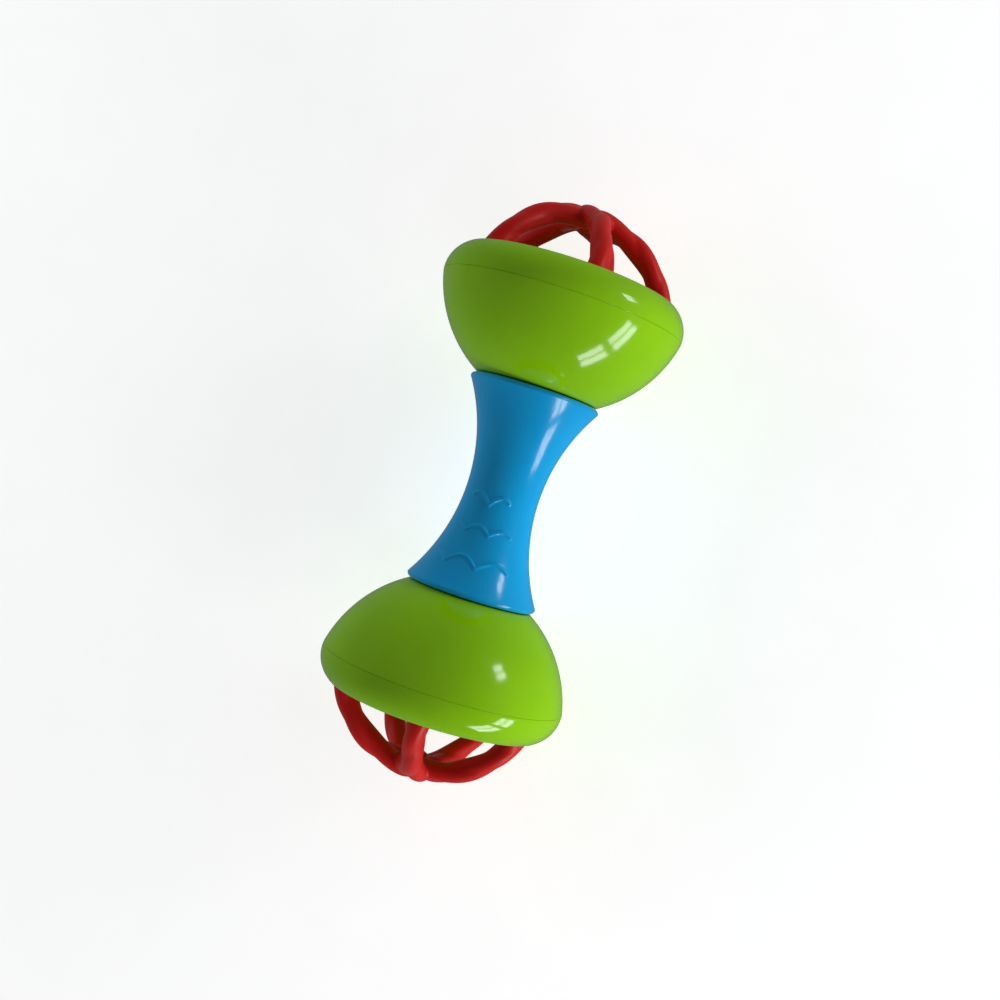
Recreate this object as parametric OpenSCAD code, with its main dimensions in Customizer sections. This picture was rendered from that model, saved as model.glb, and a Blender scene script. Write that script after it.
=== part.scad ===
// Baby rattle in the shape of a small dumbbell.
// It lies on the rims of its two cups: its long axis is X, up is Z, and the origin is the middle of the grip.
// Each end is drawn standing on its own axis (local Z points out of the end) and is then laid along X.

/* [Handle] */
// Radius of the grip at its waist
waist_r = 9.7; // [8.5:0.1:11]
// Radius of the hollow outline of the grip
handle_curve_r = 50; // [46:1:60]
// Half of the length of the handle
handle_half = 28; // [27.5:0.1:28.2]
// Wall of the handle shells
handle_wall = 2; // [1.8:0.1:2.4]
// Height of the moulded waves
wave_height = 0.4; // [0.2:0.1:0.8]
// Width of the moulded waves
wave_width = 1.0; // [0.7:0.1:1.4]

/* [Cups] */
// Radius of the round outline of each bowl
bowl_r = 34.4; // [34:0.1:34.8]
// Wall of the bowls
cup_wall = 2; // [1.6:0.1:2.2]
// Radius of the foot of the bowl, where it meets the handle
foot_r = 16.5; // [15:0.5:17.5]
// Distance from the middle of the grip to the seam between bowl and rim ring
seam_z = 50.8; // [50.6:0.1:51]

/* [Lattice domes] */
// Radius of the ball that the hoops lie on
dome_r = 26.45; // [26:0.05:26.6]
// Radius of a strut
strut_r = 2.45; // [2:0.05:2.5]
// Distance from each hoop's plane to the middle of the ball
hoop_offset = 10.7; // [9.5:0.1:11]
// Lean of the hoops towards the tip of the dome, in degrees
hoop_lean = 16.9; // [14:0.1:18]
// How far a hoop rises and dips where it crosses the others
hoop_weave = 0.7; // [0.3:0.1:0.8]
// Turn of the right dome about the long axis, in degrees
right_dome_turn = 63; // [0:1:72]
// Turn of the left dome about the long axis, in degrees
left_dome_turn = 27; // [0:1:72]

/* [Beads] */
// Radius of a bead
bead_r = 3; // [2:0.1:3]

/* [Hidden] */

$fn = 96;
right = 1;
left = -1;
blue = "#0a9bdc";
green = "#86c400";
red = "#b4161a";
yellow = "#ffd23c";
steel = "#b9bec4";

// Steps that an arc of an outline is drawn with
arc_steps = 16;
// Gap left between pieces that touch in the real rattle, and a cut's overshoot
gap = 0.2;
over = 1;

// Handle: the outline is an arc about a point outside the waist
handle_curve_mid = waist_r + handle_curve_r;
handle_inner_curve_r = handle_curve_r + handle_wall;
handle_edge_r = 1.2;
end_wall = 2.8;
end_wall_z = handle_half - end_wall;
end_bore_r = 9.9;

// Waves: [crest x, depth, pitch, y of one crest, lowest y, highest y]
waves = [
    [-1.5, 2.6, 6.4, 3.2, -4.8, 4.8],
    [-9.8, 1.8, 6.3, 0.6, -7.5, 7.5],
    [-18, 2.4, 8.3, 1.5, -9.9, 9.9]
];
wave_steps = 40;
wave_root = 0.6;
wave_base_z = 3;

// Screws that hold the two shells, driven from the back
screw_xs = [-8, 8];
screw_r = 1.2;
screw_length = 11.5;
screw_head_r = 2.3;
screw_head_h = 1.6;
screw_seat_z = -6;
screw_slot_w = 0.7;
screw_slot_depth = 0.9;
screw_recess_r = 2.6;
front_boss_r = 3;
back_boss_r = 3.6;
pilot_r = 1.25;
pilot_top_z = 6.5;
clearance_hole_r = 1.5;

// Pins that locate the shells
pin_xs = [-17, 17];
pin_r = 1.5;
pin_depth = 2;
pin_socket_r = 2.8;

// Cup: the bowl is an arc about a point near the rim
bowl_mid = [-1.07, 57.95];
bowl_inner_r = bowl_r - cup_wall;
cup_foot_z = handle_half + 0.3;
foot_edge = 0.3;
cup_floor_z = 31;
cup_floor = 2;
spigot_r = 9.6;
spigot_wall = 1.8;
spigot_z = 22.2;
flange_r = 12.2;
flange_h = 2.8;
key_w = 3;
key_out = 1.8;
tongue_r = [30.5, 31.45];
tongue_h = 1.45;
ledge_r = 28.9;
ledge_z = seam_z - 0.6;
ledge_h = 0.5;
ledge_slope = 1.5;

// Lid over the bead chamber
lid_z = 44.2;
lid_h = 1.8;
lid_r = 28;
lid_flat = 3;
lid_crown = 1.8;
lid_ledge_r = 26.9;
lid_ledge_h = 1.3;

// Dome: hoops on a ball, rising from a flange that the rim ring clamps
dome_z = 48.7;
dome_flange_z = [seam_z - 0.5, seam_z + 1.5];
dome_flange_r = [24.4, 30.3];
hoop_r = sqrt(pow(dome_r, 2) - pow(hoop_offset, 2));
hoop_count = 5;
hoop_normal = [cos(hoop_lean), 0, sin(hoop_lean)];
hoop_across = [0, 1, 0];
hoop_up = [-sin(hoop_lean), 0, cos(hoop_lean)];
hoop_foot = 1;
hoop_steps = 30;
strut_sides = 12;
foot_flare = 0.4;
foot_h = 1.5;
foot_t = 2;
dome_fn = 60;
dome_room_r = dome_r + strut_r + 0.3;

// Rim ring: curls over the dome's flange
rim_mid = [23.75, 51.6];
rim_curl_r = 8.85;
rim_top_z = 59.35;
rim_lip = 0.5;
skirt_r = 31.6;
seam_gap = 0.15;
clamp_z = seam_z + 1.6;

// Beads lie side by side on the low side of the chamber, against the lid
bead_count = 5;
bead_z = lid_z - bead_r - gap;
bead_pitch = 6.4;
bead_room_r = sqrt(pow(bowl_inner_r - bead_r - gap, 2) - pow(bead_z - bowl_mid[1], 2)) + bowl_mid[0];

// ---------- Outlines ----------

// Points of an arc about mid, from angle a to angle b
function arc(mid, r, a, b, steps = arc_steps) =
    [for (i = [0:steps]) let (t = a + (b - a) * i / steps) mid + r * [cos(t), sin(t)]];

// Angle at which a bowl outline of radius r is at height z
function bowl_angle(r, z) = asin((z - bowl_mid[1]) / r);

// Radius of the room that the dome needs at height z
function dome_room_at(z) = sqrt(pow(dome_room_r, 2) - pow(z - dome_z, 2));

// Radius of the handle's outline at height z
function handle_at(r, z) = handle_curve_mid - sqrt(pow(r, 2) - pow(z, 2));

// Height of one scalloped wave: round crests and sharp cusps
function wave_x(w, y) = w[0] - w[1] * (1 - abs(cos(180 * (y - w[3]) / w[2])));
function wave_y(w, i) = w[4] + (w[5] - w[4]) * i / wave_steps;

// ---------- Frames ----------

// Lays an end, drawn along local Z, along X (side is right or left)
module lay_end(side) {
    rotate([0, 0, side == right ? 0 : 180]) rotate([0, 90, 0]) children();
}

// ---------- Handle ----------

// Solid of the grip, grown by "grow" all round
module handle_solid(grow = 0) {
    edge_z = handle_half - handle_edge_r;
    edge_at = handle_at(handle_curve_r, edge_z);
    half_angle = asin(edge_z / (handle_curve_r - grow));
    rotate([0, 90, 0]) rotate_extrude()
        polygon(concat(
            [[0, -handle_half]],
            arc([edge_at - handle_edge_r, -edge_z], handle_edge_r + grow, 270, 360, 6),
            arc([handle_curve_mid, 0], handle_curve_r - grow, 180 + half_angle, 180 - half_angle, 3 * arc_steps),
            arc([edge_at - handle_edge_r, edge_z], handle_edge_r + grow, 0, 90, 6),
            [[0, handle_half]]
        ));
}

module handle_hollow() {
    half_angle = asin(end_wall_z / handle_inner_curve_r);
    rotate([0, 90, 0]) {
        rotate_extrude()
            polygon(concat(
                [[0, -end_wall_z]],
                arc([handle_curve_mid, 0], handle_inner_curve_r, 180 + half_angle, 180 - half_angle, 3 * arc_steps),
                [[0, end_wall_z]]
            ));
        for (end = [right, left]) translate([0, 0, end * handle_half])
            cylinder(h = 2 * end_wall + over, r = end_bore_r, center = true);
    }
}

// Half space above (1) or below (-1) the split between the shells
module half_space(up) {
    size = 4 * handle_half;
    translate([-size / 2, -size / 2, up > 0 ? 0 : -size]) cube(size);
}

module wave_band(w) {
    linear_extrude(waist_r + handle_half)
        polygon(concat(
            [for (i = [0:wave_steps]) [wave_x(w, wave_y(w, i)) + wave_width / 2, wave_y(w, i)]],
            [for (i = [wave_steps:-1:0]) [wave_x(w, wave_y(w, i)) - wave_width / 2, wave_y(w, i)]]
        ));
}

module wave_relief() {
    intersection() {
        difference() {
            handle_solid(wave_height);
            handle_solid(-wave_root);
        }
        translate([0, 0, wave_base_z]) union() for (w = waves) wave_band(w);
    }
}

module handle_front_shell() {
    color(blue) union() {
        difference() {
            intersection() {
                union() {
                    difference() {
                        handle_solid();
                        handle_hollow();
                    }
                    intersection() {
                        handle_solid(-handle_wall / 2);
                        union() {
                            for (x = screw_xs) translate([x, 0, 0]) cylinder(h = handle_half, r = front_boss_r);
                            for (x = pin_xs) translate([x, 0, 0]) cylinder(h = handle_half, r = pin_socket_r);
                        }
                    }
                }
                half_space(1);
            }
            for (x = screw_xs) translate([x, 0, -over]) cylinder(h = pilot_top_z + over, r = pilot_r);
        }
        for (x = pin_xs) translate([x, 0, -pin_depth]) cylinder(h = pin_depth + over, r = pin_r);
        wave_relief();
    }
}

module handle_back_shell() {
    color(blue) difference() {
        intersection() {
            union() {
                difference() {
                    handle_solid();
                    handle_hollow();
                }
                intersection() {
                    handle_solid(-handle_wall / 2);
                    mirror([0, 0, 1]) union() {
                        for (x = screw_xs) translate([x, 0, 0]) cylinder(h = handle_half, r = back_boss_r);
                        for (x = pin_xs) translate([x, 0, 0]) cylinder(h = handle_half, r = pin_socket_r);
                    }
                }
            }
            half_space(-1);
        }
        mirror([0, 0, 1]) {
            for (x = screw_xs) translate([x, 0, 0]) {
                translate([0, 0, -over]) cylinder(h = handle_half, r = clearance_hole_r);
                translate([0, 0, -screw_seat_z]) cylinder(h = handle_half, r = screw_recess_r);
            }
            for (x = pin_xs) translate([x, 0, -over]) cylinder(h = pin_depth + gap + over, r = pin_r + gap / 2);
        }
        // Slots for the keys on the cups' spigots
        for (end = [right, left]) translate([end * handle_half, 0, -end_bore_r - key_out / 2])
            cube([2 * end_wall + over, key_w + 2 * gap, key_out + 2 * gap], center = true);
    }
}

module handle_screws() {
    color(steel) for (x = screw_xs) translate([x, 0, screw_seat_z]) difference() {
        union() {
            cylinder(h = screw_length, r = screw_r);
            translate([0, 0, -screw_head_h]) cylinder(h = screw_head_h, r = screw_head_r);
        }
        for (a = [45, 135]) rotate([0, 0, a])
            translate([0, 0, -screw_head_h])
                cube([2 * screw_head_r * 0.7, screw_slot_w, 2 * screw_slot_depth], center = true);
    }
}

// ---------- Ends ----------

module cup(side) {
    foot_angle = acos((foot_r - bowl_mid[0]) / bowl_r);
    slope_z = ledge_z - ledge_slope;
    color(green) lay_end(side) union() {
        rotate_extrude()
            polygon(concat(
                // Outside: the spigot with its flange, the foot, the bowl and the tongue
                [[0, cup_floor_z], [0, cup_floor_z - cup_floor],
                    [spigot_r - spigot_wall, cup_floor_z - cup_floor], [spigot_r - spigot_wall, spigot_z],
                    [flange_r, spigot_z], [flange_r, spigot_z + flange_h], [spigot_r, spigot_z + flange_h],
                    [spigot_r, cup_foot_z]],
                [[foot_r - foot_edge, cup_foot_z]],
                arc(bowl_mid, bowl_r, -foot_angle, bowl_angle(bowl_r, seam_z), 2 * arc_steps),
                [[tongue_r[1], seam_z], [tongue_r[1], seam_z + tongue_h],
                    [tongue_r[0], seam_z + tongue_h], [tongue_r[0], ledge_z],
                    // Inside: the dome's ledge, the lid's ledge and the chamber
                    [ledge_r, ledge_z], [ledge_r, ledge_z - ledge_h]],
                arc(bowl_mid, bowl_inner_r, bowl_angle(bowl_inner_r, slope_z),
                    bowl_angle(bowl_inner_r, lid_z), 4),
                [[lid_ledge_r, lid_z], [lid_ledge_r, lid_z - lid_ledge_h / 2]],
                arc(bowl_mid, bowl_inner_r, bowl_angle(bowl_inner_r, lid_z - lid_ledge_h),
                    bowl_angle(bowl_inner_r, cup_floor_z), arc_steps)
            ));
        // Key that stops the cup turning in the handle
        translate([spigot_r + (key_out - spigot_wall) / 2, 0, cup_foot_z - end_wall / 2])
            cube([key_out + spigot_wall - gap, key_w, end_wall], center = true);
    }
}

module chamber_lid(side) {
    crown_r = (pow(lid_r - lid_flat, 2) + pow(lid_crown, 2)) / (2 * lid_crown);
    crown_angle = asin((lid_r - lid_flat) / crown_r);
    crown_mid = lid_z + lid_crown - crown_r;
    color(green) lay_end(side) rotate_extrude()
        polygon(concat(
            arc([0, crown_mid + lid_h], crown_r, 90, 90 - crown_angle),
            [[lid_r, lid_z + lid_h], [lid_r, lid_z]],
            arc([0, crown_mid], crown_r, 90 - crown_angle, 90)
        ));
}

// The plane of the hoop that is m places on, and the angles at which the first hoop crosses it
function hoop_normal_at(m) = let (a = 360 * m / hoop_count)
    [cos(a) * cos(hoop_lean), sin(a) * cos(hoop_lean), sin(hoop_lean)];
function hoop_crossing(m, sign) =
    let (n = hoop_normal_at(m), a = n * hoop_across * hoop_r, b = n * hoop_up * hoop_r,
        c = hoop_offset * (1 - n * hoop_normal))
    atan2(b, a) + sign * acos(c / norm([a, b]));
crossing_low = hoop_crossing(2, -1);
crossing_high = hoop_crossing(2, 1);
crossing_top = hoop_crossing(1, 1);

// The hoop goes over at one crossing and under at the next, less so near the rim ring
function weave(t) = hoop_weave * lookup(t, [[0, 0], [crossing_low, 0.5], [crossing_high, -0.8],
    [crossing_top, 1], [180 - crossing_top, -1], [180 - crossing_high, 0.8], [180 - crossing_low, -0.5], [180, 0]]);

// Point of a hoop at angle t, at distance r from the hoop's middle
function hoop_point(t, r) = hoop_offset * hoop_normal + r * (cos(t) * hoop_across + sin(t) * hoop_up);
// Points round the tube at angle t
function hoop_ring(t) = [for (j = [0:strut_sides - 1]) let (a = 360 * (j + 0.3) / strut_sides)
    hoop_point(t, hoop_r + weave(t) + strut_r * cos(a)) + strut_r * sin(a) * hoop_normal];

// One hoop: a round tube swept from one foot in the flange to the other
module hoop() {
    last = hoop_steps * strut_sides;
    points = [for (i = [0:hoop_steps]) each hoop_ring(hoop_foot + (180 - 2 * hoop_foot) * i / hoop_steps)];
    sides = [for (i = [0:hoop_steps - 1], j = [0:strut_sides - 1])
        let (k = (j + 1) % strut_sides, a = i * strut_sides, b = a + strut_sides)
        each [[a + j, a + k, b + k], [a + j, b + k, b + j]]];
    ends = [[for (j = [strut_sides - 1:-1:0]) j], [for (j = [0:strut_sides - 1]) last + j]];
    polyhedron(points, concat(sides, ends));
}

// The flared foot of a strut on the flange
module strut_foot(t) {
    low = hoop_point(t, hoop_r);
    high = hoop_point(t + foot_h / hoop_r * 57.3 * sign(90 - t), hoop_r);
    hull() {
        translate([low[0], low[1], dome_flange_z[1] - dome_z - 0.5])
            cylinder(h = 0.5 + gap, r = strut_r + foot_flare, $fn = strut_sides);
        translate(high) rotate([0, -hoop_lean, 0]) cylinder(h = foot_h, r = strut_r - 0.1, $fn = strut_sides);
    }
}

module lattice_dome(side, turn) {
    color(red) lay_end(side) rotate([0, 0, turn]) union() {
        translate([0, 0, dome_z]) for (i = [0:hoop_count - 1]) rotate([0, 0, 360 * i / hoop_count]) {
            hoop();
            strut_foot(foot_t);
            strut_foot(180 - foot_t);
        }
        rotate_extrude($fn = dome_fn)
            translate([dome_flange_r[0], dome_flange_z[0]])
                square([dome_flange_r[1] - dome_flange_r[0], dome_flange_z[1] - dome_flange_z[0]]);
    }
}

module rim_ring(side) {
    start = asin((seam_z + seam_gap - rim_mid[1]) / rim_curl_r);
    end = asin((rim_top_z - rim_lip / 2 - rim_mid[1]) / rim_curl_r);
    room_zs = [for (i = [0:arc_steps]) rim_top_z - rim_lip + (clamp_z - rim_top_z + rim_lip) * i / arc_steps];
    color(green) lay_end(side) rotate_extrude()
        polygon(concat(
            [[skirt_r, seam_z + seam_gap]],
            arc(rim_mid, rim_curl_r, start, end),
            [[dome_room_at(rim_top_z) + rim_lip / 2, rim_top_z]],
            [for (z = room_zs) [dome_room_at(z), z]],
            [[skirt_r, clamp_z]]
        ));
}

// Bead i of a cup, counted from the -Y side
module bead(side, i) {
    y = bead_pitch * (i - (bead_count + 1) / 2);
    color(yellow) translate([side * bead_z, y, -sqrt(pow(bead_room_r, 2) - pow(y, 2))]) sphere(r = bead_r);
}

module right_cup() cup(right);
module left_cup() cup(left);
module right_chamber_lid() chamber_lid(right);
module left_chamber_lid() chamber_lid(left);
module right_lattice_dome() lattice_dome(right, right_dome_turn);
module left_lattice_dome() lattice_dome(left, left_dome_turn);
module right_rim_ring() rim_ring(right);
module left_rim_ring() rim_ring(left);

handle_front_shell();
handle_back_shell();
handle_screws();
right_cup();
right_chamber_lid();
right_lattice_dome();
right_rim_ring();
left_cup();
left_chamber_lid();
left_lattice_dome();
left_rim_ring();
bead(right, 1);  // right_bead_1
bead(right, 2);  // right_bead_2
bead(right, 3);  // right_bead_3
bead(right, 4);  // right_bead_4
bead(right, 5);  // right_bead_5
bead(left, 1);  // left_bead_1
bead(left, 2);  // left_bead_2
bead(left, 3);  // left_bead_3
bead(left, 4);  // left_bead_4
bead(left, 5);  // left_bead_5
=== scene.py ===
"""Baby rattle: the looks of its pieces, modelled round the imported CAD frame.

Pieces are drawn in millimetres and stored in metres. Each end is drawn on its own axis, as in the CAD:
local z is the distance from the middle of the grip, and lay_end() lays it along the rattle's long axis.
"""
import math

import bmesh
import bpy
import numpy as np
from mathutils import Matrix, Vector
from mathutils.kdtree import KDTree


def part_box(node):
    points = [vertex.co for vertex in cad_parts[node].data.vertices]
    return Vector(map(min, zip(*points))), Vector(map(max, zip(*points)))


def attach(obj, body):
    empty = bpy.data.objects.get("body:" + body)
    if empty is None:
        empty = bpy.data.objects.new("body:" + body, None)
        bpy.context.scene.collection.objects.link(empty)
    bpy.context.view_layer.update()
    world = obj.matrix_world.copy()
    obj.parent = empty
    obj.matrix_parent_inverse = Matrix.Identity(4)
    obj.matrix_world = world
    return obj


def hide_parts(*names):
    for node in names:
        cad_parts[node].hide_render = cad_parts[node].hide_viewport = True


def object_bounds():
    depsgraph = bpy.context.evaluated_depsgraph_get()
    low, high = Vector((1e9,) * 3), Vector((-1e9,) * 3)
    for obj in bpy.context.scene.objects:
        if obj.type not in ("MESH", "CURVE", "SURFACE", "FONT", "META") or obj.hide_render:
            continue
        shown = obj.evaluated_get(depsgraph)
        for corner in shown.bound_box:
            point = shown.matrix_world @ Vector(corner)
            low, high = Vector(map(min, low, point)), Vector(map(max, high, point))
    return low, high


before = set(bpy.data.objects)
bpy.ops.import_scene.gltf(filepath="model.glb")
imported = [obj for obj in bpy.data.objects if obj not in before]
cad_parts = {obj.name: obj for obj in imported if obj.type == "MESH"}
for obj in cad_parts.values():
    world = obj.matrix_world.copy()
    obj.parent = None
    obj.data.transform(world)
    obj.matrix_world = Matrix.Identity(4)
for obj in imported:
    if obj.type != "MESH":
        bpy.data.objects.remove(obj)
cad_bounds = [list(corner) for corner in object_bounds()]

MM = 0.001
BODY = "rattle"
SIDES = {"right": 1, "left": -1}


def box_mm(node):
    """Lowest and highest corner of a CAD node, in millimetres."""
    low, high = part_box(node)
    return [v / MM for v in low], [v / MM for v in high]


# ---------- Sizes, from the frame where it has them ----------

HANDLE = box_mm("handle_back_shell")
CUP = box_mm("right_cup")
DOME = box_mm("right_lattice_dome")
RIM = box_mm("right_rim_ring")
LID = box_mm("right_chamber_lid")

HANDLE_HALF = HANDLE[1][0]
WAIST_R = 9.7
HANDLE_CURVE_R = 50.0
HANDLE_WALL = 2.0
HANDLE_EDGE = 1.2
END_WALL = 2.8
END_BORE_R = 9.9
BOSSES = ((-8, 3.4), (8, 3.4), (-17, 2.8), (17, 2.8))
SCREW_XS = (-8, 8)
SCREW_RECESS_R = 2.6
SCREW_RECESS_Z = 6.0
SCREW_HOLE_R = 1.35

BOWL_MID = (-1.07, 57.95)
BOWL_R = 34.4
BOWL_WALL = 2.0
FOOT_R = 16.5
FOOT_Z = HANDLE_HALF + 0.3
SEAM_Z = RIM[0][0] - 0.15
SEAM_GAP = 0.04
SPIGOT_R = 9.6
SPIGOT_BORE_R = 7.8
FLANGE_R = 12.2
FLANGE_H = 2.8
FLOOR_Z = (29.0, 31.0)
TONGUE = (30.5, 31.45, 1.45)
LEDGE_R = 28.9

LID_R = LID[1][1]
LID_Z = LID[0][0]
LID_H = 1.8
LID_CROWN = 1.8
LID_FLAT = 3.0

RIM_MID = (23.75, 51.6)
RIM_CURL_R = 8.85
RIM_TOP_Z = RIM[1][0]
SKIRT_R = 31.6

DOME_Z = 48.7
DOME_R = 26.45
STRUT_R = 2.45
HOOPS = 5
HOOP_OFFSET = 10.7
HOOP_LEAN = math.radians(16.9)
HOOP_WEAVE = 0.7
# How far a hoop stands out at its foot, at each crossing and at its other foot, as a share of HOOP_WEAVE
HOOP_HEIGHTS = (0, 0.5, -0.8, 1, -1, 0.8, -0.5, 0)
HOOP_FOOT = math.radians(0.6)
# What the smoothing takes off a strut, and how a strut flares where it meets the flange
STRUT_SPARE = 0.14
FOOT_FLARE = 0.7
FOOT_FLARE_REACH = 0.9
REMESH_VOXEL = 0.32
SMOOTH_ROUNDS = 18
DOME_FLANGE_Z = (DOME[0][0], DOME[0][0] + 2.0)
DOME_FLANGE_R = (24.4, 30.3)
DOME_TURN = {"right": 63, "left": 27}
ROOM_R = DOME_R + STRUT_R + 0.3

# Waves on the grip: crest x, depth, pitch, y of one crest, lowest y, highest y
WAVES = (
    (-1.5, 2.6, 6.4, 3.2, -4.8, 4.8),
    (-9.8, 1.8, 6.3, 0.6, -7.5, 7.5),
    (-18, 2.4, 8.3, 1.5, -9.9, 9.9),
)
WAVE_HEIGHT = 0.4
WAVE_HALF_WIDTH = 0.62


# ---------- Outlines ----------

def arc(mid, radius, start, end, steps=24):
    """Points of an arc about mid = (r, z), angles in radians."""
    angles = np.linspace(start, end, steps + 1)
    return [(mid[0] + radius * math.cos(a), mid[1] + radius * math.sin(a)) for a in angles]


def bowl_angle(radius, z):
    return math.asin((z - BOWL_MID[1]) / radius)


def soften(outline, reach, steps=4, sharp=math.radians(25)):
    """Rounds every sharp corner of a closed outline, within reach of the corner along its two sides."""
    points = [np.array(p, float) for p in outline]
    n = len(points)
    sides = [points[(i + 1) % n] - points[i] for i in range(n)]
    lengths = [np.linalg.norm(s) for s in sides]

    def turn(i):
        a, b = sides[i - 1], sides[i]
        return abs(math.atan2(a[0] * b[1] - a[1] * b[0], a[0] * b[0] + a[1] * b[1]))

    def on_axis(i):
        return points[i][0] < 1e-6

    corners = [i for i in range(n) if turn(i) > sharp and not on_axis(i)]
    along = np.concatenate([[0], np.cumsum(lengths)])
    total = along[-1]

    def at(s):
        s %= total
        i = min(int(np.searchsorted(along, s, side="right")) - 1, n - 1)
        return points[i] + sides[i] * ((s - along[i]) / lengths[i])

    spans = []
    for k, i in enumerate(corners):
        room = min((along[corners[(k + 1) % len(corners)]] - along[i]) % total,
                   (along[i] - along[corners[k - 1]]) % total)
        spans.append((i, min(reach, 0.45 * room)))
    result = []
    for i in range(n):
        cut = next((r for c, r in spans if c == i), None)
        if cut is not None:
            first, last = at(along[i] - cut), at(along[i] + cut)
            for t in np.linspace(0, 1, steps + 1):
                result.append((1 - t) ** 2 * first + 2 * t * (1 - t) * points[i] + t ** 2 * last)
        else:
            near = any(abs((along[i] - along[c] + total / 2) % total - total / 2) <= r for c, r in spans)
            if not near:
                result.append(points[i])
    return [tuple(p) for p in result]


# ---------- Meshes ----------

def lay_end(side, turn=0.0):
    """Matrix from an end's own frame, in millimetres, to the rattle's frame, in metres."""
    flip = Matrix.Rotation(0 if SIDES[side] > 0 else math.pi, 4, "Z")
    lay = Matrix.Rotation(math.pi / 2, 4, "Y")
    return Matrix.Scale(MM, 4) @ flip @ lay @ Matrix.Rotation(math.radians(turn), 4, "Z")


def new_piece(name, mesh, material, node):
    """Puts a mesh in the scene as a piece that rides on the rattle and stands for a CAD node."""
    piece = bpy.data.objects.new(name, mesh)
    bpy.context.scene.collection.objects.link(piece)
    mesh.materials.clear()
    mesh.materials.append(material)
    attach(piece, BODY)
    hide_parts(node)
    return piece


def turned_mesh(outline, steps=192, angles=None):
    """bmesh of a closed (r, z) outline turned about z: all round, or over the given angles with flat ends."""
    closed = angles is None
    if closed:
        angles = np.linspace(0, 2 * math.pi, steps, endpoint=False)
    bm = bmesh.new()
    rows = [[bm.verts.new((r * math.cos(a), r * math.sin(a), z)) for r, z in outline] for a in angles]
    n = len(outline)
    count = len(rows) if closed else len(rows) - 1
    for i in range(count):
        a, b = rows[i], rows[(i + 1) % len(rows)]
        for j in range(n):
            k = (j + 1) % n
            if outline[j][0] < 1e-6 and outline[k][0] < 1e-6:
                continue
            bm.faces.new((a[j], b[j], b[k], a[k]))
    if not closed:
        bm.faces.new(rows[0])
        bm.faces.new(reversed(rows[-1]))
    bmesh.ops.remove_doubles(bm, verts=bm.verts, dist=1e-5)
    bmesh.ops.recalc_face_normals(bm, faces=bm.faces)
    return bm


def finish_mesh(bm, name, matrix, smooth_angle=math.radians(35)):
    """Turns a bmesh into a mesh in the rattle's frame, smooth except at sharp edges."""
    bm.transform(matrix)
    if matrix.determinant() < 0:
        bmesh.ops.reverse_faces(bm, faces=bm.faces)
    for face in bm.faces:
        face.smooth = True
    for edge in bm.edges:
        edge.smooth = edge.calc_face_angle(0) < smooth_angle
    mesh = bpy.data.meshes.new(name)
    bm.to_mesh(mesh)
    bm.free()
    return mesh


def add_tube(bm, centre, radius, low, high, steps=40):
    """Adds a closed cylinder along z to a bmesh."""
    made = bmesh.ops.create_cone(bm, cap_ends=True, segments=steps, radius1=radius, radius2=radius,
                                 depth=high - low)
    bmesh.ops.translate(bm, verts=made["verts"], vec=(centre[0], centre[1], (low + high) / 2))


def cut_with(piece, cutter_bm):
    """Takes a bmesh's solid away from a piece."""
    mesh = bpy.data.meshes.new("cutter")
    cutter_bm.to_mesh(mesh)
    cutter_bm.free()
    cutter = bpy.data.objects.new("cutter", mesh)
    bpy.context.scene.collection.objects.link(cutter)
    modifier = piece.modifiers.new("cut", "BOOLEAN")
    modifier.operation = "DIFFERENCE"
    modifier.solver = "EXACT"
    modifier.object = cutter
    bake_modifiers(piece)
    bpy.data.objects.remove(cutter)


def bake_modifiers(piece):
    """Replaces a piece's mesh with what its modifiers make of it."""
    depsgraph = bpy.context.evaluated_depsgraph_get()
    mesh = bpy.data.meshes.new_from_object(piece.evaluated_get(depsgraph))
    piece.modifiers.clear()
    old = piece.data
    piece.data = mesh
    bpy.data.meshes.remove(old)


# ---------- Materials ----------

def node_tree(name):
    material = bpy.data.materials.new(name)
    material.use_nodes = True
    tree = material.node_tree
    return material, tree, tree.nodes["Principled BSDF"]


def add_noise(tree, scale, detail=3.0, roughness=0.5, stretch=None):
    """A noise texture in the piece's own coordinates. Scale is in features per metre."""
    coords = tree.nodes.new("ShaderNodeTexCoord")
    noise = tree.nodes.new("ShaderNodeTexNoise")
    noise.inputs["Scale"].default_value = scale
    noise.inputs["Detail"].default_value = detail
    noise.inputs["Roughness"].default_value = roughness
    source = coords.outputs["Object"]
    if stretch:
        mapping = tree.nodes.new("ShaderNodeMapping")
        mapping.inputs["Scale"].default_value = stretch
        mapping.inputs["Rotation"].default_value = (0.4, 0.2, 0.9)
        tree.links.new(source, mapping.inputs["Vector"])
        source = mapping.outputs["Vector"]
    tree.links.new(source, noise.inputs["Vector"])
    return noise.outputs["Fac"]


def ramp(tree, value, low, high, to_low, to_high):
    """Maps a value from one range to another, clamped."""
    node = tree.nodes.new("ShaderNodeMapRange")
    for socket, number in zip(("From Min", "From Max", "To Min", "To Max"), (low, high, to_low, to_high)):
        node.inputs[socket].default_value = number
    tree.links.new(value, node.inputs["Value"])
    return node.outputs["Result"]


def mix_colour(tree, factor, first, second):
    node = tree.nodes.new("ShaderNodeMix")
    node.data_type = "RGBA"
    tree.links.new(factor, node.inputs["Factor"])
    for socket, colour in ((node.inputs[6], first), (node.inputs[7], second)):
        if isinstance(colour, tuple):
            socket.default_value = (*colour, 1)
        else:
            tree.links.new(colour, socket)
    return node.outputs[2]


def add_bump(tree, height, distance, strength, normal=None):
    bump = tree.nodes.new("ShaderNodeBump")
    bump.inputs["Distance"].default_value = distance
    bump.inputs["Strength"].default_value = strength
    tree.links.new(height, bump.inputs["Height"])
    if normal is not None:
        tree.links.new(normal, bump.inputs["Normal"])
    return bump.outputs["Normal"]


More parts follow.
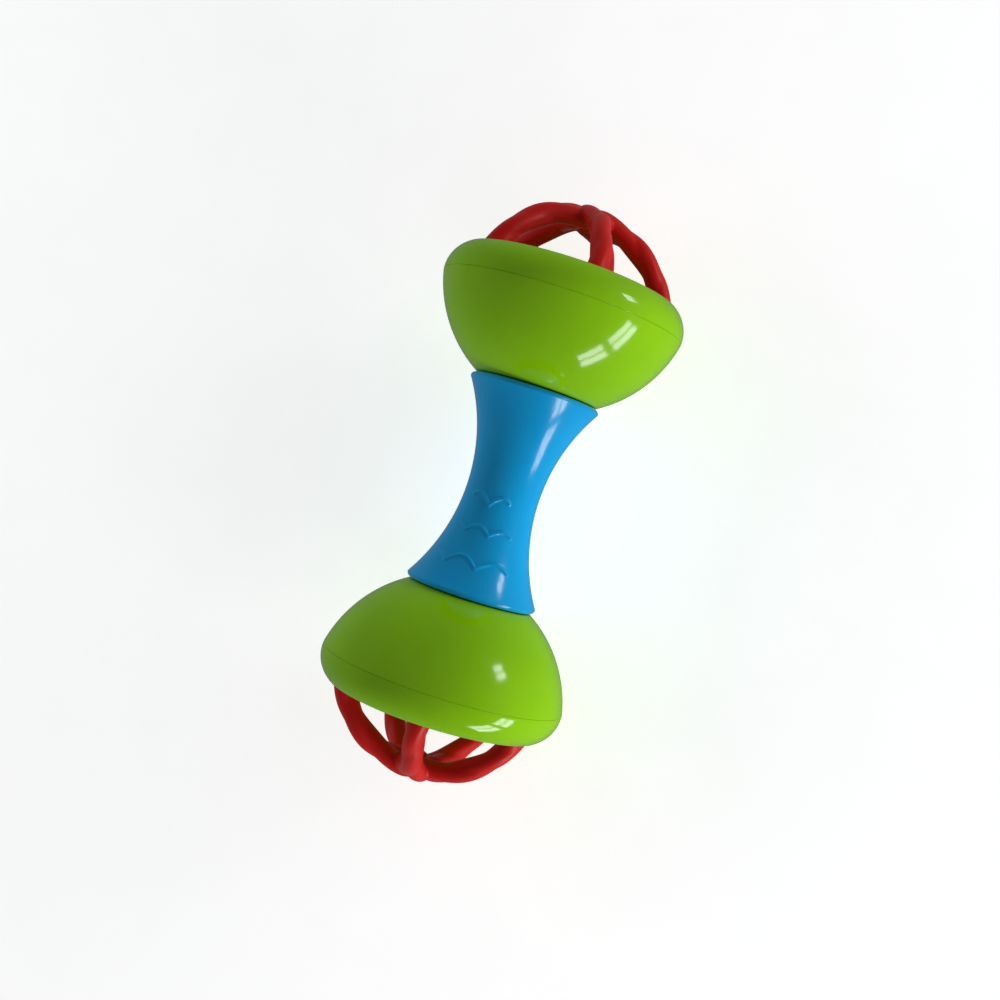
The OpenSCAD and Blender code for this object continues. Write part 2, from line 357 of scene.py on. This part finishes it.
def moulded_plastic(name, colour, deep, gloss=0.1):
    """Glossy injection-moulded ABS: slight flow marks in the colour, orange peel, and fine rubbing scratches."""
    material, tree, shader = node_tree(name)
    flow = ramp(tree, add_noise(tree, 45, 2.0), 0.35, 0.65, 0, 1)
    shader_colour = mix_colour(tree, flow, colour, deep)
    tree.links.new(shader_colour, shader.inputs["Base Color"])
    scratches = ramp(tree, add_noise(tree, 130, 6.0, 0.75, (1, 22, 9)), 0.66, 0.74, 0, 1)
    smears = ramp(tree, add_noise(tree, 70, 4.0, 0.6), 0.4, 0.75, gloss, gloss + 0.09)
    rub = tree.nodes.new("ShaderNodeMath")
    rub.operation = "MULTIPLY_ADD"
    rub.inputs[1].default_value = 0.16
    tree.links.new(scratches, rub.inputs[0])
    tree.links.new(smears, rub.inputs[2])
    tree.links.new(rub.outputs[0], shader.inputs["Roughness"])
    peel = add_bump(tree, add_noise(tree, 420, 1.0), 0.00006, 0.25)
    fine = add_bump(tree, scratches, 0.00002, 0.25, peel)
    tree.links.new(fine, shader.inputs["Normal"])
    shader.inputs["IOR"].default_value = 1.5
    shader.inputs["Specular IOR Level"].default_value = 0.34
    shader.inputs["Coat Weight"].default_value = 0.15
    shader.inputs["Coat Roughness"].default_value = 0.05
    return material


def soft_rubber(name, colour, deep):
    """Satin thermoplastic elastomer: a fine matt grain, lint-dull patches and a slight glow at grazing angles."""
    material, tree, shader = node_tree(name)
    cloud = ramp(tree, add_noise(tree, 90, 3.0), 0.35, 0.7, 0, 1)
    tree.links.new(mix_colour(tree, cloud, colour, deep), shader.inputs["Base Color"])
    dull = ramp(tree, add_noise(tree, 160, 4.0, 0.65), 0.35, 0.7, 0.34, 0.5)
    tree.links.new(dull, shader.inputs["Roughness"])
    grain = add_bump(tree, add_noise(tree, 2600, 2.0), 0.00003, 0.35)
    wave = add_bump(tree, add_noise(tree, 240, 1.0), 0.0001, 0.3, grain)
    tree.links.new(wave, shader.inputs["Normal"])
    shader.inputs["IOR"].default_value = 1.45
    shader.inputs["Specular IOR Level"].default_value = 0.3
    shader.inputs["Sheen Weight"].default_value = 0.03
    shader.inputs["Sheen Roughness"].default_value = 0.4
    return material


def plated_steel(name):
    """Zinc-plated screw: bright, with turning marks and dull spots."""
    material, tree, shader = node_tree(name)
    spots = ramp(tree, add_noise(tree, 900, 4.0, 0.6), 0.4, 0.7, 0, 1)
    tree.links.new(mix_colour(tree, spots, (0.62, 0.62, 0.6), (0.42, 0.43, 0.44)), shader.inputs["Base Color"])
    tree.links.new(ramp(tree, spots, 0, 1, 0.22, 0.45), shader.inputs["Roughness"])
    tree.links.new(add_bump(tree, add_noise(tree, 1800, 2.0, 0.5, (1, 1, 8)), 0.00003, 0.4),
                   shader.inputs["Normal"])
    shader.inputs["Metallic"].default_value = 1.0
    return material


GREEN = moulded_plastic("green_abs", (0.27, 0.60, 0.002), (0.25, 0.56, 0.001))
BLUE = moulded_plastic("blue_abs", (0.002, 0.37, 0.78), (0.001, 0.34, 0.73), gloss=0.13)
RED = soft_rubber("red_tpe", (0.64, 0.008, 0.004), (0.56, 0.006, 0.003))
YELLOW = moulded_plastic("yellow_pp", (0.9, 0.55, 0.03), (0.85, 0.5, 0.02), gloss=0.22)
STEEL = plated_steel("zinc_plated_steel")


# ---------- Handle ----------

def handle_radius(z):
    """Outer radius of the grip at a distance from its middle."""
    return WAIST_R + HANDLE_CURVE_R - np.sqrt(HANDLE_CURVE_R ** 2 - np.square(z))


def handle_outline(steps=260):
    """Closed outline of the hollow handle: outside, end wall, inside, and the other end wall."""
    mid = (WAIST_R + HANDLE_CURVE_R, 0)
    edge_z = HANDLE_HALF - HANDLE_EDGE
    edge_r = handle_radius(edge_z) - HANDLE_EDGE
    half = math.asin(edge_z / HANDLE_CURVE_R)
    inner_r = HANDLE_CURVE_R + HANDLE_WALL
    inner_half = math.asin((HANDLE_HALF - END_WALL) / inner_r)
    quarter = math.pi / 2
    outside = (arc((edge_r, -edge_z), HANDLE_EDGE, -quarter, 0, 8)[:-1]
               + arc(mid, HANDLE_CURVE_R, math.pi + half, math.pi - half, steps)
               + arc((edge_r, edge_z), HANDLE_EDGE, 0, quarter, 8)[1:])
    lip = [(END_BORE_R, HANDLE_HALF), (END_BORE_R, HANDLE_HALF - END_WALL)]
    inside = arc(mid, inner_r, math.pi - inner_half, math.pi + inner_half, 40)
    return outside + lip + inside + [(r, -z) for r, z in reversed(lip)], len(outside)


def wave_points():
    """Points along the moulded waves, on the grip's surface: round crests and sharp cusps."""
    for crest, depth, pitch, crest_y, low, high in WAVES:
        for y in np.arange(low, high, 0.05):
            x = crest - depth * (1 - abs(math.cos(math.pi * (y - crest_y) / pitch)))
            radius = float(handle_radius(x))
            yield x, y, math.sqrt(radius ** 2 - y ** 2)


def raise_waves(bm):
    """Lifts the skin of the front shell along the waves."""
    points = list(wave_points())
    tree = KDTree(len(points))
    for i, point in enumerate(points):
        tree.insert(point, i)
    tree.balance()
    for vert in bm.verts:
        if vert.co.z < 1:
            continue
        distance = tree.find(vert.co)[2]
        if distance < WAVE_HALF_WIDTH:
            lift = WAVE_HEIGHT * math.cos(math.pi / 2 * distance / WAVE_HALF_WIDTH) ** 1.4
            vert.co += vert.normal * lift


def draw_in_at_split(bm, depth=0.14, reach=0.3):
    """Rounds the outer edge of a shell where it meets the other one, which leaves a fine groove."""
    for vert in bm.verts:
        radius = math.hypot(vert.co.y, vert.co.z)
        outer = abs(radius - float(handle_radius(min(abs(vert.co.x), HANDLE_HALF - HANDLE_EDGE)))) < 0.2
        height = abs(vert.co.z)
        if outer and height < reach:
            pull = depth * (1 - height / reach) ** 2
            vert.co.y *= (radius - pull) / radius
            vert.co.z *= (radius - pull) / radius


def split_angles(count, up):
    """Angles over half a turn, closer together next to the split."""
    near = [0, 0.15, 0.35, 0.6, 0.9, 1.25]
    middle = np.linspace(1.7, 178.3, count)
    degrees = np.concatenate([near, middle, [180 - a for a in reversed(near)]])
    return np.radians(degrees) + (math.pi / 2 if up else -math.pi / 2)


def handle_shell(node, up, count, steps):
    """Half of the handle, with its screw bosses and locating pins."""
    outline, _ = handle_outline(steps)
    bm = turned_mesh(outline, angles=split_angles(count, up))
    bm.transform(Matrix.Rotation(math.pi / 2, 4, "Y"))
    bm.normal_update()
    draw_in_at_split(bm)
    if up:
        bm.normal_update()
        raise_waves(bm)
    sign = 1 if up else -1
    for x, radius in BOSSES:
        wall = float(handle_radius(x)) - HANDLE_WALL / 2
        ends = sorted((sign * 0.02, sign * wall))
        add_tube(bm, (x, 0), radius, *ends)
    mesh = finish_mesh(bm, node, Matrix.Scale(MM, 4))
    piece = new_piece(f"{node}_skin", mesh, BLUE, node)
    if not up:
        cutter = bmesh.new()
        for x in SCREW_XS:
            add_tube(cutter, (x, 0), SCREW_RECESS_R, -HANDLE_HALF, -SCREW_RECESS_Z, 64)
            add_tube(cutter, (x, 0), SCREW_HOLE_R, -SCREW_RECESS_Z - 1, 1, 48)
        cutter.transform(Matrix.Scale(MM, 4))
        cut_with(piece, cutter)
    return piece


# ---------- Ends ----------

def cup(side):
    """Bowl with its foot, the spigot that the handle grips, and the ledges inside."""
    inner = BOWL_R - BOWL_WALL
    foot_angle = -math.acos((FOOT_R - BOWL_MID[0]) / BOWL_R)
    spigot_z = CUP[0][0]
    lid_ledge = (LID_R - 1.1, 1.3)
    outline = [(0, FLOOR_Z[1]), (0, FLOOR_Z[0]), (SPIGOT_BORE_R, FLOOR_Z[0]), (SPIGOT_BORE_R, spigot_z),
               (FLANGE_R, spigot_z), (FLANGE_R, spigot_z + FLANGE_H), (SPIGOT_R, spigot_z + FLANGE_H),
               (SPIGOT_R, FOOT_Z), (FOOT_R - 0.3, FOOT_Z)]
    outline += arc(BOWL_MID, BOWL_R, foot_angle, bowl_angle(BOWL_R, SEAM_Z), 72)
    outline += [(TONGUE[1], SEAM_Z), (TONGUE[1], SEAM_Z + TONGUE[2]), (TONGUE[0], SEAM_Z + TONGUE[2]),
                (TONGUE[0], SEAM_Z - 0.6), (LEDGE_R, SEAM_Z - 0.6), (LEDGE_R, SEAM_Z - 1.1)]
    outline += arc(BOWL_MID, inner, bowl_angle(inner, SEAM_Z - 2.1), bowl_angle(inner, LID_Z), 8)
    outline += [(lid_ledge[0], LID_Z), (lid_ledge[0], LID_Z - lid_ledge[1] / 2)]
    outline += arc(BOWL_MID, inner, bowl_angle(inner, LID_Z - lid_ledge[1]), bowl_angle(inner, FLOOR_Z[1]), 30)
    mesh = finish_mesh(turned_mesh(soften(outline, 0.12), 224), f"{side}_cup", lay_end(side))
    return new_piece(f"{side}_cup_moulding", mesh, GREEN, f"{side}_cup")


def rim_ring(side):
    """Ring that curls in over the dome's flange."""
    start = math.asin((SEAM_Z + SEAM_GAP - RIM_MID[1]) / RIM_CURL_R)
    end = math.asin((RIM_TOP_Z - 0.25 - RIM_MID[1]) / RIM_CURL_R)
    clamp_z = DOME_FLANGE_Z[1] + 0.1

    def room(z):
        return math.sqrt(ROOM_R ** 2 - (z - DOME_Z) ** 2)

    outline = [(SKIRT_R, SEAM_Z + SEAM_GAP)]
    outline += arc(RIM_MID, RIM_CURL_R, start, end, 48)
    outline += [(room(RIM_TOP_Z) + 0.25, RIM_TOP_Z)]
    outline += [(room(z), z) for z in np.linspace(RIM_TOP_Z - 0.5, clamp_z, 20)]
    outline += [(SKIRT_R, clamp_z)]
    mesh = finish_mesh(turned_mesh(soften(outline, 0.14), 256), f"{side}_rim_ring", lay_end(side))
    return new_piece(f"{side}_rim_moulding", mesh, GREEN, f"{side}_rim_ring")


def chamber_lid(side):
    """Dished lid over the beads, with a step round its edge and the mark of the mould's gate."""
    crown_r = ((LID_R - LID_FLAT) ** 2 + LID_CROWN ** 2) / (2 * LID_CROWN)
    crown_angle = math.asin((LID_R - LID_FLAT) / crown_r)
    mid = LID_Z + LID_CROWN - crown_r
    quarter = math.pi / 2

    def dish(z):
        return arc((0, mid + z), crown_r, quarter, quarter - crown_angle, 28)

    top = [p for p in dish(LID_H) if p[0] > 1.3 and not 19.2 < p[0] < 20.8]
    groove = [(19.4, top[0][1] - 1.0), (19.7, top[0][1] - 1.35), (20.3, top[0][1] - 1.45), (20.6, top[0][1] - 1.2)]
    split = next(i for i, p in enumerate(top) if p[0] > 20)
    gate = [(0, top[0][1] + 0.25), (0.9, top[0][1] + 0.25), (1.1, top[0][1])]
    outline = gate + top[:split] + groove + top[split:]
    outline += [(LID_R, LID_Z + LID_H), (LID_R, LID_Z)]
    outline += list(reversed(dish(0)))
    mesh = finish_mesh(turned_mesh(soften(outline, 0.2), 160), f"{side}_chamber_lid", lay_end(side))
    return new_piece(f"{side}_lid_moulding", mesh, GREEN, f"{side}_chamber_lid")


# ---------- Lattice domes ----------

def hoop_frame():
    """The first hoop's plane: its normal, and the directions across and up in it."""
    normal = np.array([math.cos(HOOP_LEAN), 0, math.sin(HOOP_LEAN)])
    across = np.array([0.0, 1, 0])
    up = np.array([-math.sin(HOOP_LEAN), 0, math.cos(HOOP_LEAN)])
    return normal, across, up


def hoop_crossings():
    """Angles along a hoop at which the others cross it, in order."""
    normal, across, up = hoop_frame()
    radius = math.sqrt(DOME_R ** 2 - HOOP_OFFSET ** 2)
    found = []
    for places, sign in ((2, -1), (2, 1), (1, 1)):
        a = 2 * math.pi * places / HOOPS
        other = np.array([math.cos(a) * normal[0], math.sin(a) * normal[0], normal[2]])
        x, y = other @ across * radius, other @ up * radius
        level = HOOP_OFFSET * (1 - other @ normal)
        found.append(math.atan2(y, x) + sign * math.acos(level / math.hypot(x, y)))
    return found + [math.pi - a for a in reversed(found)]


def hoop_tube(turn, rings=150, sides=28):
    """Vertices and faces of one hoop: a tube that goes over at one crossing and under at the next."""
    normal, across, up = hoop_frame()
    radius = math.sqrt(DOME_R ** 2 - HOOP_OFFSET ** 2)
    knots = [0, *hoop_crossings(), math.pi]
    verts = []
    for t in np.linspace(HOOP_FOOT, math.pi - HOOP_FOOT, rings):
        k = min(int(np.searchsorted(knots, t, side="right")) - 1, len(knots) - 2)
        s = (t - knots[k]) / (knots[k + 1] - knots[k])
        s = s * s * (3 - 2 * s)
        lift = HOOP_WEAVE * (HOOP_HEIGHTS[k] * (1 - s) + HOOP_HEIGHTS[k + 1] * s)
        out = math.cos(t) * across + math.sin(t) * up
        centre = HOOP_OFFSET * normal + (radius + lift) * out
        above = centre[2] + DOME_Z - DOME_FLANGE_Z[1]
        thick = STRUT_R + STRUT_SPARE + FOOT_FLARE * math.exp(-max(above, 0) / FOOT_FLARE_REACH)
        for a in np.linspace(0, 2 * math.pi, sides, endpoint=False):
            verts.append(centre + thick * (math.cos(a) * out + math.sin(a) * normal))
    spin = np.array(Matrix.Rotation(turn, 3, "Z"))
    verts = [spin @ v + (0, 0, DOME_Z) for v in verts]
    faces = [(i * sides + j, i * sides + (j + 1) % sides, (i + 1) * sides + (j + 1) % sides,
              (i + 1) * sides + j) for i in range(rings - 1) for j in range(sides)]
    last = (rings - 1) * sides
    faces += [tuple(range(sides))[::-1], tuple(range(last, last + sides))]
    return verts, faces


def lattice_dome(side):
    """Five woven hoops on a clamped flange, melted into one soft moulding."""
    low, high = DOME_FLANGE_Z
    inner, outer = DOME_FLANGE_R
    bm = turned_mesh([(inner, low), (outer, low), (outer, high), (inner, high)], 160)
    for i in range(HOOPS):
        verts, faces = hoop_tube(2 * math.pi * i / HOOPS)
        made = [bm.verts.new(v) for v in verts]
        for face in faces:
            bm.faces.new([made[j] for j in face])
    bmesh.ops.recalc_face_normals(bm, faces=bm.faces)
    mesh = finish_mesh(bm, f"{side}_lattice_dome", lay_end(side, DOME_TURN[side]))
    piece = new_piece(f"{side}_dome_moulding", mesh, RED, f"{side}_lattice_dome")
    remesh = piece.modifiers.new("melt", "REMESH")
    remesh.mode = "VOXEL"
    remesh.voxel_size = REMESH_VOXEL * MM
    smooth = piece.modifiers.new("smooth", "SMOOTH")
    smooth.factor = 0.5
    smooth.iterations = SMOOTH_ROUNDS
    bake_modifiers(piece)
    for face in piece.data.polygons:
        face.use_smooth = True
    return piece


# ---------- The rattle ----------

handle_shell("handle_front_shell", True, 300, 260)
handle_shell("handle_back_shell", False, 120, 110)
for side in SIDES:
    cup(side)
    rim_ring(side)
    chamber_lid(side)
    lattice_dome(side)

for name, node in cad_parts.items():
    if "_bead_" in name or name == "handle_screws":
        node.data.materials.clear()
        node.data.materials.append(STEEL if name == "handle_screws" else YELLOW)


# ---------- Floor, light and camera ----------

def floor_material():
    """Pale paper sweep with a faint grain."""
    material, tree, shader = node_tree("pale_floor")
    grain = ramp(tree, add_noise(tree, 60, 3.0), 0.3, 0.7, 0, 1)
    tree.links.new(mix_colour(tree, grain, (0.93, 0.93, 0.93), (0.9, 0.9, 0.9)), shader.inputs["Base Color"])
    shader.inputs["Roughness"].default_value = 0.9
    shader.inputs["Specular IOR Level"].default_value = 0.1
    shader.inputs["Emission Color"].default_value = (1, 1, 1, 1)
    shader.inputs["Emission Strength"].default_value = 0.6
    return material


def add_floor(z, half=1.2):
    mesh = bpy.data.meshes.new("floor")
    mesh.from_pydata([(-half, -half, z), (half, -half, z), (half, half, z), (-half, half, z)], [], [(0, 1, 2, 3)])
    floor = bpy.data.objects.new("floor", mesh)
    bpy.context.scene.collection.objects.link(floor)
    mesh.materials.append(floor_material())
    floor.visible_glossy = False


def add_area(name, place, target, size, power, colour=(1, 1, 1)):
    light = bpy.data.lights.new(name, "AREA")
    light.shape = "RECTANGLE"
    light.size, light.size_y = size
    light.energy = power
    light.color = colour
    lamp = bpy.data.objects.new(name, light)
    bpy.context.scene.collection.objects.link(lamp)
    lamp.location = place
    lamp.rotation_mode = "QUATERNION"
    lamp.rotation_quaternion = (Vector(target) - Vector(place)).to_track_quat("-Z", "Y")
    return lamp


def add_window(name, place, target, size, panes, power, gap):
    """A window: panes of light with bars between them."""
    towards = (Vector(target) - Vector(place)).normalized()
    turn = towards.to_track_quat("-Z", "Y")
    across, up = turn @ Vector((1, 0, 0)), turn @ Vector((0, 1, 0))
    columns, rows = panes
    width, height = size[0] / columns, size[1] / rows
    for i in range(columns):
        for j in range(rows):
            middle = (Vector(place) + across * (i + 0.5 - columns / 2) * width
                      + up * (j + 0.5 - rows / 2) * height)
            add_area(f"window_{name}_{i}_{j}", middle, middle + towards, (width * (1 - gap), height * (1 - gap)),
                     power / (columns * rows))


def add_camera():
    """Looks down on the rattle, turned so that its long axis leans to the right, at arm's length."""
    distance, scale, shift = 0.3325, 0.0002624, (-0.06, 0)
    about_axis, pitch, roll = math.radians(12), math.radians(0.22), math.radians(17.84)
    offset = ((0.003 + shift[0]) * 1000 * scale, (0.0072 + shift[1]) * 1000 * scale)
    toward_camera = Vector((0, -math.sin(about_axis), math.cos(about_axis)))
    side = Vector((0, math.cos(about_axis), math.sin(about_axis)))
    axis = Vector((1, 0, 0))
    back = math.cos(pitch) * toward_camera - math.sin(pitch) * axis
    axis_seen = math.cos(pitch) * axis + math.sin(pitch) * toward_camera
    up = math.cos(roll) * axis_seen + math.sin(roll) * side
    right = math.sin(roll) * axis_seen - math.cos(roll) * side
    camera = bpy.data.cameras.new("camera")
    camera.sensor_width = 36
    camera.lens = 36 * distance / (1000 * scale)
    camera.shift_x, camera.shift_y = shift
    camera.dof.use_dof = False
    holder = bpy.data.objects.new("camera", camera)
    bpy.context.scene.collection.objects.link(holder)
    place = back * distance - right * offset[0] - up * offset[1]
    turn = Matrix((right, up, back)).transposed()
    holder.matrix_world = Matrix.Translation(place) @ turn.to_4x4()
    bpy.context.scene.camera = holder


def add_light():
    world = bpy.data.worlds.new("studio")
    world.use_nodes = True
    background = world.node_tree.nodes["Background"]
    background.inputs["Color"].default_value = (0.93, 0.96, 1.0, 1)
    background.inputs["Strength"].default_value = 0.16
    bpy.context.scene.world = world
    add_window("left", (-0.42, -0.55, 0.085), (0.0, 0.0, 0.05), (0.7, 0.2), (2, 2), 3.0, gap=0.22)
    add_window("right", (0.5, -0.62, 0.15), (0.0, 0.0, 0.05), (0.18, 0.16), (2, 1), 0.7, gap=0.22)
    # Two fills soften the shading, without a highlight of their own
    for name, place, power in (("fill_left", (0.0, 0.7, 0.3), 1.35), ("fill_right", (0.4, -0.62, 0.16), 1.7)):
        fill = add_area(name, place, (0.0, 0.0, 0.0), (0.8, 0.4), power)
        fill.visible_glossy = False


add_camera()
add_light()
add_floor(cad_bounds[0][2])
bpy.context.scene.view_settings.view_transform = "Standard"
